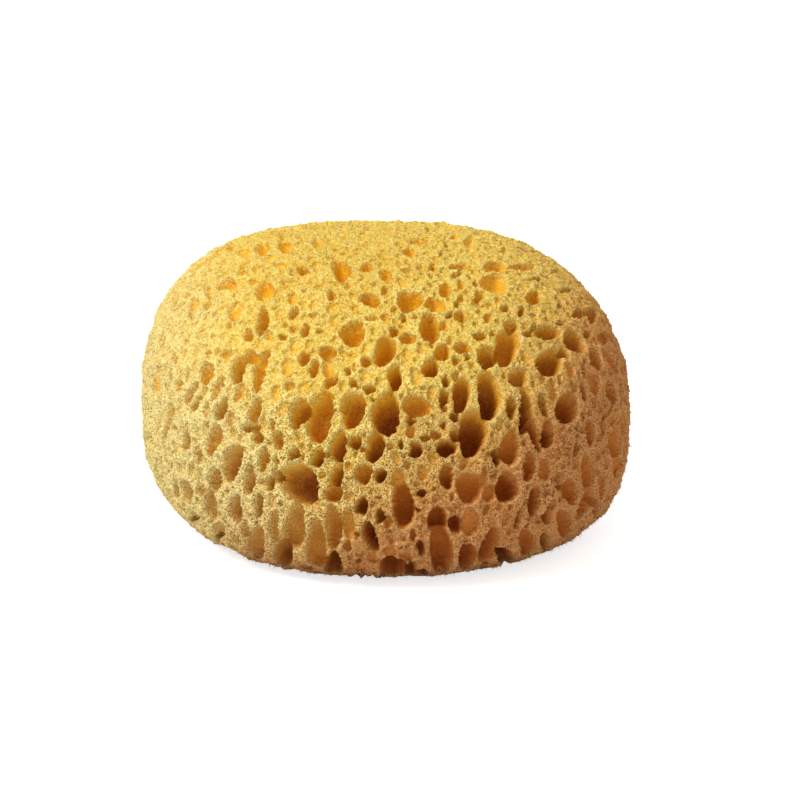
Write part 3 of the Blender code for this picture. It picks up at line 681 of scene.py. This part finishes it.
def wedge(name, unit):
    """A closed wedge of the body behind one patch, and the patch's points and depths as grids."""
    points, sink, lip, shade = pitted(unit)
    number = np.arange(unit.shape[0] * unit.shape[1]).reshape(unit.shape[:2])
    cells = [number[:-1, :-1], number[1:, :-1], number[1:, 1:], number[:-1, 1:]]
    cells = np.stack(cells, axis=-1).reshape(-1, 4)
    edge = border(unit.shape[:2])
    heart = np.full(len(edge), number.size)
    walls = np.stack([np.roll(edge, -1), edge, heart], axis=1)
    mesh = mesh_from("sponge_" + name, np.vstack([points.reshape(-1, 3), HEART]), cells, walls,
                     hollow=np.append(shade.ravel(), 1.0), lip=np.append(lip.ravel(), 0.0))
    mesh.calc_loop_triangles()
    print("sponge_" + name, len(mesh.loop_triangles), "triangles")
    return mesh, points, sink


WEDGES = {name: wedge(name, unit) for name, unit in PATCHES.items()}
lowest = min(points[..., 2].min() for _, points, _ in WEDGES.values())
print("lowest point", round(float(lowest) * 1000, 2), "mm")

# %% [markdown]
# ## Loose fibre ends
#
# The real skin is a felt of short stiff fibres, and their loose ends stand off it as a fine fuzz, which
# shows along the outline. Hair could do it, but thin closed spikes are plain mesh that any program can
# read. Each one starts at a random spot of a grid cell and leans away from the skin at random.

# %% Fibre ends of one patch
SPIKES = 14000
SPIKE_HALF_WIDTH = (0.00008, 0.00014)
SPIKE_LENGTH = (0.00055, 0.00160)
MOST_SUNK = 0.0010  # no fibre ends deeper down than this
LOWEST_FIBRE = 0.002  # nor lower on the body
ROOT_DEPTH = 0.00015
FIBRE_LEAN = 0.6
FIBRE_SEED = 90


def fibre_ends(points, sink, seed):
    """Points and triangles of closed three-sided spikes on a patch: three corners just under the skin and a
    tip."""
    draw = np.random.default_rng(seed)
    i = draw.integers(0, points.shape[0] - 1, SPIKES)
    j = draw.integers(0, points.shape[1] - 1, SPIKES)
    u, v = draw.random((2, SPIKES, 1))
    foot = (points[i, j] * (1 - u) + points[i + 1, j] * u) * (1 - v)
    foot = foot + (points[i, j + 1] * (1 - u) + points[i + 1, j + 1] * u) * v
    good = (sink[i, j] < MOST_SUNK) & (foot[:, 2] > LOWEST_FIBRE)
    foot = foot[good]
    out = foot - HEART
    out = out / np.linalg.norm(out, axis=1, keepdims=True)
    lean = out + draw.normal(0, FIBRE_LEAN, out.shape)
    lean = lean / np.linalg.norm(lean, axis=1, keepdims=True)
    length = draw.uniform(*SPIKE_LENGTH, len(foot)) * draw.uniform(0.6, 1.0, len(foot))
    half = draw.uniform(*SPIKE_HALF_WIDTH, len(foot))[:, None]
    side = np.cross(lean, draw.normal(0, 1, lean.shape))
    side = side / np.linalg.norm(side, axis=1, keepdims=True)
    other = np.cross(lean, side)
    under = foot - out * ROOT_DEPTH
    corners = [under + half * (cos(turn) * side + sin(turn) * other) for turn in (0, 2 * pi / 3, 4 * pi / 3)]
    spikes = np.stack([*corners, foot + lean * length[:, None]], axis=1)
    pattern = np.array([[0, 2, 1], [0, 1, 3], [1, 2, 3], [2, 0, 3]])
    cells = pattern[None] + 4 * np.arange(len(foot))[:, None, None]
    return spikes.reshape(-1, 3), cells.reshape(-1, 3)


# %% [markdown]
# ## Colour of dry spongin, with painted light and shade
#
# The crown is a strong yellow. The left is painted paler, as painted light where the lamp falls most, and the
# right and the low skin are painted tan, as painted shade away from it. The foot is darker brown, partly the
# browner cut base and partly painted shade where the skin turns under. Down in a pit the colour is a
# saturated orange and then a deep brown, painted shade for light that has met the walls many times. One node
# group gives the colour everywhere from the place on the body, so the body and its fibres match; each
# material then adds its own fine detail.

# %% Colours and shader helpers
YELLOW = (0.90, 0.650, 0.088)
# PALE is painted light: the left, where the lamp falls most, is made paler
PALE = (0.87, 0.725, 0.285)
# TAN is painted shade: the right and the low skin, away from the lamp, are made tan
TAN = (0.68, 0.280, 0.084)
# FOOT is partly the browner cut base and partly painted shade where the skin turns under
FOOT = (0.30, 0.10, 0.045)
# The pit tints are painted shade, darker with depth: for the lit side, the shaded side, the pale left and the
# low skin, then deep and deepest
LIT_SIDE_PIT = (1.0, 0.73, 0.03)
SHADED_SIDE_PIT = (1.0, 0.88, 0.50)
PALE_PIT = (0.91, 0.60, 0.20)
LOW_PIT = (0.68, 0.47, 0.24)
DEEP_TINT = (0.74, 0.53, 0.24)
DEEPEST_TINT = (0.72, 0.52, 0.45)
# PORE_TINT and SPECK_TINT are painted shade in the pores and in the gaps of the felt's grain
PORE_TINT = (0.34, 0.19, 0.07)
SPECK_TINT = (0.46, 0.33, 0.13)
# RIDGE and FIBRE_PALE are painted highlights: on the ridges, the pits' lips, the grain's glints and the fibre
# ends
RIDGE = (0.97, 0.83, 0.37)
FIBRE_PALE = (0.95, 0.80, 0.42)
PORE_WIDTH = 0.00078
GRAIN_WIDTH = 0.00042


def rgba(colour):
    """A colour with full opacity added."""
    return (*colour, 1.0)


def socket(group, name, kind, way, value=None):
    """A new input or output of a node group."""
    made = group.interface.new_socket(name=name, in_out=way, socket_type=kind)
    if value is not None:
        made.default_value = value
    return made


def link(tree, source, target):
    """Join one socket to another."""
    tree.links.new(source, target)


def noise(tree, vector, scale, detail=3.0, rough=0.5):
    """Soft noise with this many lumps to the metre, between 0 and 1."""
    made = tree.nodes.new("ShaderNodeTexNoise")
    made.inputs["Scale"].default_value = scale
    made.inputs["Detail"].default_value = detail
    made.inputs["Roughness"].default_value = rough
    link(tree, vector, made.inputs["Vector"])
    return made.outputs["Fac"]


def ramp(tree, source, low, high, to_low=0.0, to_high=1.0):
    """A smooth step: to_low where the source is low or less, to_high where it is high or more."""
    made = tree.nodes.new("ShaderNodeMapRange")
    made.interpolation_type = "SMOOTHSTEP"
    made.inputs["From Min"].default_value = low
    made.inputs["From Max"].default_value = high
    made.inputs["To Min"].default_value = to_low
    made.inputs["To Max"].default_value = to_high
    link(tree, source, made.inputs["Value"])
    return made.outputs["Result"]


def blend(tree, factor, first, second, kind="MIX"):
    """Two colours mixed or multiplied. Sockets 0, 6 and 7 of the node are the factor and the colours."""
    made = tree.nodes.new("ShaderNodeMix")
    made.data_type = "RGBA"
    made.blend_type = kind
    for index, value in ((0, factor), (6, first), (7, second)):
        if isinstance(value, bpy.types.NodeSocket):
            link(tree, value, made.inputs[index])
        else:
            made.inputs[index].default_value = value
    return made.outputs[2]


def maths(tree, kind, first, second):
    """A sum or product of two sockets or numbers."""
    made = tree.nodes.new("ShaderNodeMath")
    made.operation = kind
    for index, value in enumerate((first, second)):
        if isinstance(value, bpy.types.NodeSocket):
            link(tree, value, made.inputs[index])
        else:
            made.inputs[index].default_value = value
    return made.outputs[0]


def times(tree, first, second):
    """The product of two sockets or numbers."""
    return maths(tree, "MULTIPLY", first, second)


def colour_group():
    """Place on the body and depth in, spongin colour out: yellow, paler to the left as painted light, tan to
    the right and low down as painted shade, darker at the foot partly as painted shade, then multiplied by
    the pit's tints with depth, which are painted shade. The second output is the share of the painted-shade
    side."""
    group = bpy.data.node_groups.new("spongin_colour", "ShaderNodeTree")
    socket(group, "Place", "NodeSocketVector", "INPUT")
    socket(group, "Hollow", "NodeSocketFloat", "INPUT", 0.0)
    for name, value in (("Yellow", YELLOW), ("Pale", PALE), ("Tan", TAN), ("Foot", FOOT),
                        ("Lit side pit", LIT_SIDE_PIT), ("Pale pit", PALE_PIT), ("Low pit", LOW_PIT),
                        ("Shaded side pit", SHADED_SIDE_PIT), ("Deep tint", DEEP_TINT), ("Deepest tint", DEEPEST_TINT)):
        socket(group, name, "NodeSocketColor", "INPUT", rgba(value))
    socket(group, "Color", "NodeSocketColor", "OUTPUT")
    socket(group, "Age", "NodeSocketFloat", "OUTPUT")
    start = group.nodes.new("NodeGroupInput")
    end = group.nodes.new("NodeGroupOutput")
    split = group.nodes.new("ShaderNodeSeparateXYZ")
    link(group, start.outputs["Place"], split.inputs[0])
    drift = times(group, noise(group, start.outputs["Place"], 30, 3), 0.5)
    to_left = maths(group, "ADD", times(group, split.outputs["X"], -9.0),
                    times(group, split.outputs["Z"], -7.0))
    to_right = maths(group, "ADD", times(group, split.outputs["X"], 10.5),
                     times(group, split.outputs["Z"], -16.5))
    # Painted light makes the left paler, near the lamp; painted shade makes the right and the low skin tan
    pale = ramp(group, maths(group, "ADD", to_left, drift), -0.05, 0.55)
    shaded_side = ramp(group, maths(group, "ADD", to_right, drift), -0.82, 0.10)
    paler = blend(group, pale, start.outputs["Yellow"], start.outputs["Pale"])
    shaded_skin = blend(group, shaded_side, paler, start.outputs["Tan"])
    # The foot: darker brown below about a centimetre, partly the cut base and partly painted shade
    foot = maths(group, "ADD", split.outputs["Z"], times(group, drift, 0.01))
    skin = blend(group, ramp(group, foot, 0.0035, 0.0100, 0.85, 0.0), shaded_skin, start.outputs["Foot"])
    # The pit's painted shade: its tint on the lit side, the pale left, the low skin and the shaded side
    lit_side = blend(group, pale, start.outputs["Lit side pit"], start.outputs["Pale pit"])
    low_down = ramp(group, split.outputs["Z"], 0.018, 0.036, 1.0, 0.0)
    lit_side = blend(group, low_down, lit_side, start.outputs["Low pit"])
    tint = blend(group, shaded_side, lit_side, start.outputs["Shaded side pit"])
    mottle = ramp(group, noise(group, start.outputs["Place"], 210, 2), 0.36, 0.64, 0.80, 1.0)
    tinted = times(group, ramp(group, start.outputs["Hollow"], 0.02, 0.50), mottle)
    pit = blend(group, tinted, skin, tint, "MULTIPLY")
    # Painted shade deep in the pits, weaker on the crown and at the foot
    deep_shade_strength = times(group, ramp(group, split.outputs["Z"], 0.057, 0.074, 1.0, 0.35),
                    ramp(group, split.outputs["Z"], 0.010, 0.034, 0.30, 1.0))
    for name, first, full in (("Deep tint", 0.46, 0.86), ("Deepest tint", 0.86, 0.95)):
        share = times(group, ramp(group, start.outputs["Hollow"], first, full), deep_shade_strength)
        pit = blend(group, share, pit, start.outputs[name], "MULTIPLY")
    link(group, pit, end.inputs["Color"])
    link(group, shaded_side, end.inputs["Age"])
    return group


COLOUR_GROUP = colour_group()
print("colour group:", [item.name for item in COLOUR_GROUP.interface.items_tree])


# %% [markdown]
# ## The felt of the skin
#
# Close up the skin is a felt: pores under a millimetre apart between ridges, and a grain about 0.4 mm wide.
# The dark pores and the dark specks of the grain are painted shade; the pale ridges, the pale lips of the
# pits and the pale glints of the grain are painted highlights. Meshing it would take millions of triangles,
# so it is
# a pattern of the material: cells bent by noise for the pores and ridges, a finer noise for the grain, and a
# small bump. It is weaker on the crown and fades down in the pits.

# %% What both materials share
def colour_node(tree, place):
    """The spongin colour at a place."""
    made = tree.nodes.new("ShaderNodeGroup")
    made.node_tree = COLOUR_GROUP
    link(tree, place, made.inputs["Place"])
    return made


def attribute(tree, name):
    """A value stored on the points of the mesh."""
    made = tree.nodes.new("ShaderNodeAttribute")
    made.attribute_name = name
    return made.outputs["Fac"]


def base_material(name, roughness):
    """A new dry, matt material, its node tree and its surface node."""
    material = bpy.data.materials.new(name)
    material.use_nodes = True
    surface = material.node_tree.nodes["Principled BSDF"]
    surface.inputs["Roughness"].default_value = roughness
    surface.inputs["Specular IOR Level"].default_value = 0.12
    return material, material.node_tree, surface


# %% The body's material
def skin_material():
    """The body: dark pores of painted shade, then pale ridges and lips of painted highlight, then dark specks
    of painted shade and pale glints of painted highlight, each laid over the last.
    """
    material, tree, surface = base_material("spongin_body", 0.95)
    place = tree.nodes.new("ShaderNodeTexCoord").outputs["Object"]
    hollow, lip = attribute(tree, "hollow"), attribute(tree, "lip")
    colour = colour_node(tree, place)
    link(tree, hollow, colour.inputs["Hollow"])
    bent = tree.nodes.new("ShaderNodeVectorMath")
    bent.operation = "MULTIPLY_ADD"
    wander = tree.nodes.new("ShaderNodeTexNoise")
    wander.inputs["Scale"].default_value = 900
    wander.inputs["Detail"].default_value = 1
    link(tree, place, wander.inputs["Vector"])
    link(tree, wander.outputs["Color"], bent.inputs[0])
    bent.inputs[1].default_value = (0.0009, 0.0009, 0.0009)
    link(tree, place, bent.inputs[2])
    pores = tree.nodes.new("ShaderNodeTexVoronoi")
    pores.inputs["Scale"].default_value = 1 / PORE_WIDTH
    link(tree, bent.outputs[0], pores.inputs["Vector"])
    patchy = ramp(tree, noise(tree, place, 160, 2), 0.36, 0.62, 0.45, 1.0)
    apart = pores.outputs["Distance"]
    # Painted shade in the pores
    pore = ramp(tree, apart, 0.20, 0.46, 1.0, 0.0)
    on_skin = ramp(tree, hollow, 0.05, 0.62, 1.0, 0.18)
    height = tree.nodes.new("ShaderNodeSeparateXYZ")
    link(tree, place, height.inputs[0])
    strength = times(tree, on_skin, ramp(tree, height.outputs["Z"], 0.035, 0.070, 0.90, 0.50))
    dark = times(tree, times(tree, pore, patchy), strength)
    pored = blend(tree, dark, colour.outputs["Color"],
                  blend(tree, 1.0, colour.outputs["Color"], rgba(PORE_TINT), "MULTIPLY"))
    # Painted highlights on the ridges, strongest on the lit side
    lit_side = ramp(tree, colour.outputs["Age"], 0.0, 0.9, 0.55, 0.10)
    ridge = times(tree, times(tree, ramp(tree, apart, 0.45, 0.75), on_skin), lit_side)
    ridged = blend(tree, ridge, pored, rgba(RIDGE))
    # Painted highlight on the lips of the pits
    lip_highlighted = blend(tree, ramp(tree, lip, 0.3, 1.0, 0.0, 0.16), ridged, rgba(RIDGE))
    grain = noise(tree, place, 1 / GRAIN_WIDTH, 1)
    coarse = times(tree, on_skin, ramp(tree, height.outputs["Z"], 0.040, 0.068, 1.0, 0.38))
    coarse = times(tree, coarse, ramp(tree, colour.outputs["Age"], 0.4, 1.0, 1.0, 0.55))
    fewer = times(tree, coarse, ramp(tree, height.outputs["X"], -0.058, -0.020, 0.60, 1.0))
    # Painted shade in the specks of the grain
    specks = times(tree, ramp(tree, grain, 0.36, 0.52, 1.0, 0.0), fewer)
    specked = blend(tree, specks, lip_highlighted, blend(tree, 1.0, lip_highlighted, rgba(SPECK_TINT), "MULTIPLY"))
    weaker = times(tree, coarse, ramp(tree, colour.outputs["Age"], 0.3, 0.9, 1.0, 0.45))
    # Painted highlights: pale glints of the grain, weaker on the shaded side
    glints = times(tree, ramp(tree, grain, 0.48, 0.63, 0.0, 0.72), weaker)
    glinted = blend(tree, glints, specked, rgba(RIDGE))
    link(tree, glinted, surface.inputs["Base Color"])
    bump = tree.nodes.new("ShaderNodeBump")
    bump.inputs["Strength"].default_value = 1.0
    bump.inputs["Distance"].default_value = 0.0004
    relief = maths(tree, "ADD", times(tree, times(tree, apart, on_skin), 1.1),
                   times(tree, noise(tree, place, 1900, 2, 0.6), 1.1))
    link(tree, relief, bump.inputs["Height"])
    link(tree, bump.outputs["Normal"], surface.inputs["Normal"])
    return material


SKIN = skin_material()
print(SKIN.name, len(SKIN.node_tree.nodes), "nodes")


# %% The fibre ends' material
def fibre_material():
    """The fibre ends: the body's colour, mixed in patches with a paler one, a painted highlight."""
    material, tree, surface = base_material("spongin_fibre", 0.85)
    place = tree.nodes.new("ShaderNodeTexCoord").outputs["Object"]
    colour = colour_node(tree, place)
    # Painted highlights: paler patches on the fibre ends
    patches = ramp(tree, noise(tree, place, 700, 1), 0.35, 0.65, 0.0, 0.35)
    lighter = blend(tree, patches, colour.outputs["Color"], rgba(FIBRE_PALE))
    link(tree, lighter, surface.inputs["Base Color"])
    return material


FIBRE = fibre_material()
print(FIBRE.name, len(FIBRE.node_tree.nodes), "nodes")


# %% Dress the wedges and set the fibre ends on them
def piece(name, mesh, material):
    """An object of this mesh and material that rides with the body."""
    made = bpy.data.objects.new(name, mesh)
    bpy.context.scene.collection.objects.link(made)
    mesh.materials.append(material)
    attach(made, "root")
    return made


for seed, (name, (mesh, points, sink)) in enumerate(WEDGES.items()):
    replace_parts(piece("sponge_" + name, mesh, SKIN), "sponge")
    if name != "base":
        ends, cells = fibre_ends(points, sink, FIBRE_SEED + seed)
        piece("fibres_" + name, mesh_from("fibres_" + name, ends, cells), FIBRE)
        print("fibres_" + name, len(cells), "triangles")

# %% [markdown]
# ## Floor, light and camera
#
# The body lies on a plain pale ground, in soft daylight from the upper left. The ground's glow is seen by
# the camera alone, so it is white and yet throws little light back up under the body. One broad lamp gives
# the soft shadow, and a faintly warm sky fills it. The camera stands where the pits were read from.

# %% The pale floor
FLOOR_GLOW = 0.72
FLOOR_GREY = (0.78, 0.78, 0.78)
FLOOR_HALF = 6
FLOOR_LEVEL = -0.0004
floor_mesh = bpy.data.meshes.new("floor")
corners = [(x * FLOOR_HALF, y * FLOOR_HALF, FLOOR_LEVEL) for x, y in ((-1, -1), (1, -1), (1, 1), (-1, 1))]
floor_mesh.from_pydata(corners, [], [(0, 1, 2, 3)])
floor = bpy.data.objects.new("floor", floor_mesh)
bpy.context.scene.collection.objects.link(floor)
floor_material = bpy.data.materials.new("pale_floor")
floor_material.use_nodes = True
floor_surface = floor_material.node_tree.nodes["Principled BSDF"]
floor_surface.inputs["Base Color"].default_value = rgba(FLOOR_GREY)
floor_surface.inputs["Roughness"].default_value = 0.9
floor_surface.inputs["Emission Color"].default_value = (1, 1, 1, 1)
path = floor_material.node_tree.nodes.new("ShaderNodeLightPath")
glow = times(floor_material.node_tree, path.outputs["Is Camera Ray"], FLOOR_GLOW)
link(floor_material.node_tree, glow, floor_surface.inputs["Emission Strength"])
floor_mesh.materials.append(floor_material)
print("floor", 2 * FLOOR_HALF, "m wide")

# %% A faintly warm sky, and a broad lamp at the upper left
SKY = (1, 0.97, 0.93)
SKY_STRENGTH = 0.66
KEY_PLACE = (-0.90, -0.68, 1.25)
KEY_SIZE = 0.55
KEY_POWER = 18.7
world = bpy.data.worlds.new("studio")
bpy.context.scene.world = world
world.use_nodes = True
world.node_tree.nodes["Background"].inputs["Color"].default_value = rgba(SKY)
world.node_tree.nodes["Background"].inputs["Strength"].default_value = SKY_STRENGTH


def soft_light(name, place, size, power):
    """A square area light of this size at place, aimed at the heart of the body."""
    data = bpy.data.lights.new(name, "AREA")
    data.size = size
    data.energy = power
    light = bpy.data.objects.new(name, data)
    bpy.context.scene.collection.objects.link(light)
    back = (Vector(place) - Vector(HEART.tolist())).normalized()
    light.matrix_world = Matrix.Translation(place) @ back.to_track_quat("Z", "Y").to_matrix().to_4x4()
    return light


key = soft_light("key", KEY_PLACE, KEY_SIZE, KEY_POWER)
print("key light", key.data.energy, "W")

# %% The camera, in the view that the pits were read in
SENSOR = 36  # in millimetres
PICTURE_WIDTH = 800  # in pixels
camera_data = bpy.data.cameras.new("view")
camera_data.sensor_width = SENSOR
camera_data.lens = SENSOR * VIEW_DISTANCE / (PIXEL * PICTURE_WIDTH)
camera_data.clip_start = 0.01
camera = bpy.data.objects.new("view", camera_data)
bpy.context.scene.collection.objects.link(camera)
turn = Matrix((VIEW_RIGHT.tolist(), VIEW_UP.tolist(), VIEW_BACK.tolist())).transposed().to_4x4()
camera.matrix_world = Matrix.Translation(EYE.tolist()) @ turn
bpy.context.scene.camera = camera
bpy.context.scene.view_settings.view_transform = "Standard"
print("lens", round(camera_data.lens, 1), "mm")
